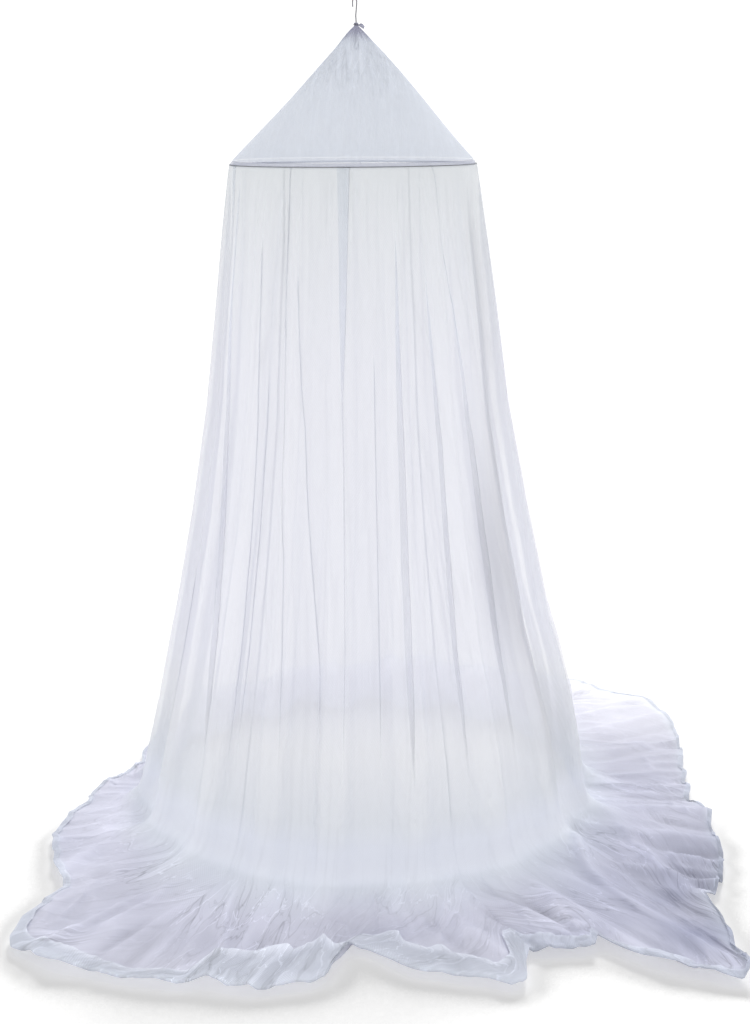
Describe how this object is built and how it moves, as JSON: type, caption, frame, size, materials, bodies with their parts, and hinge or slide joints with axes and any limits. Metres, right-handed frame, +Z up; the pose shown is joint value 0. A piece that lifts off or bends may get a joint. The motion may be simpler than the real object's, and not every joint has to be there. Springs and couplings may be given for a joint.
{
  "type": "mosquito net canopy with hoop and hook",
  "caption": "Round hanging mosquito net: a cone-shaped top on a sleeved wire hoop, a flared net skirt with soft folds that spreads over the floor, and a wire hook to hang it from.",
  "frame": {"origin": "where the hook hangs: the inner top of its bend", "axes": "+Z up along the hook's shank, the net's front faces -Y, +X to the right seen from the front"},
  "size_m": [1.7679, 2.096, 2.0412],
  "materials": {
    "net_cloth": "sheer white net",
    "cap_cloth": "sheer white net",
    "band_cloth": "white net in two layers over the hoop",
    "thread": "dark thread",
    "hoop_steel": "grey coated rod",
    "hook_steel": "plain drawn wire"
  },
  "bodies": {
    "root": {"net_front": "net_cloth", "net_right_front": "net_cloth", "net_right_back": "net_cloth", "net_back": "net_cloth", "net_left_back": "net_cloth", "net_left_front": "net_cloth", "cap": "cap_cloth", "neck_tail": "cap_cloth", "hoop_sleeve": "band_cloth", "tie": "thread", "hoop": "hoop_steel", "hook": "hook_steel"}
  },
  "joints": []
}
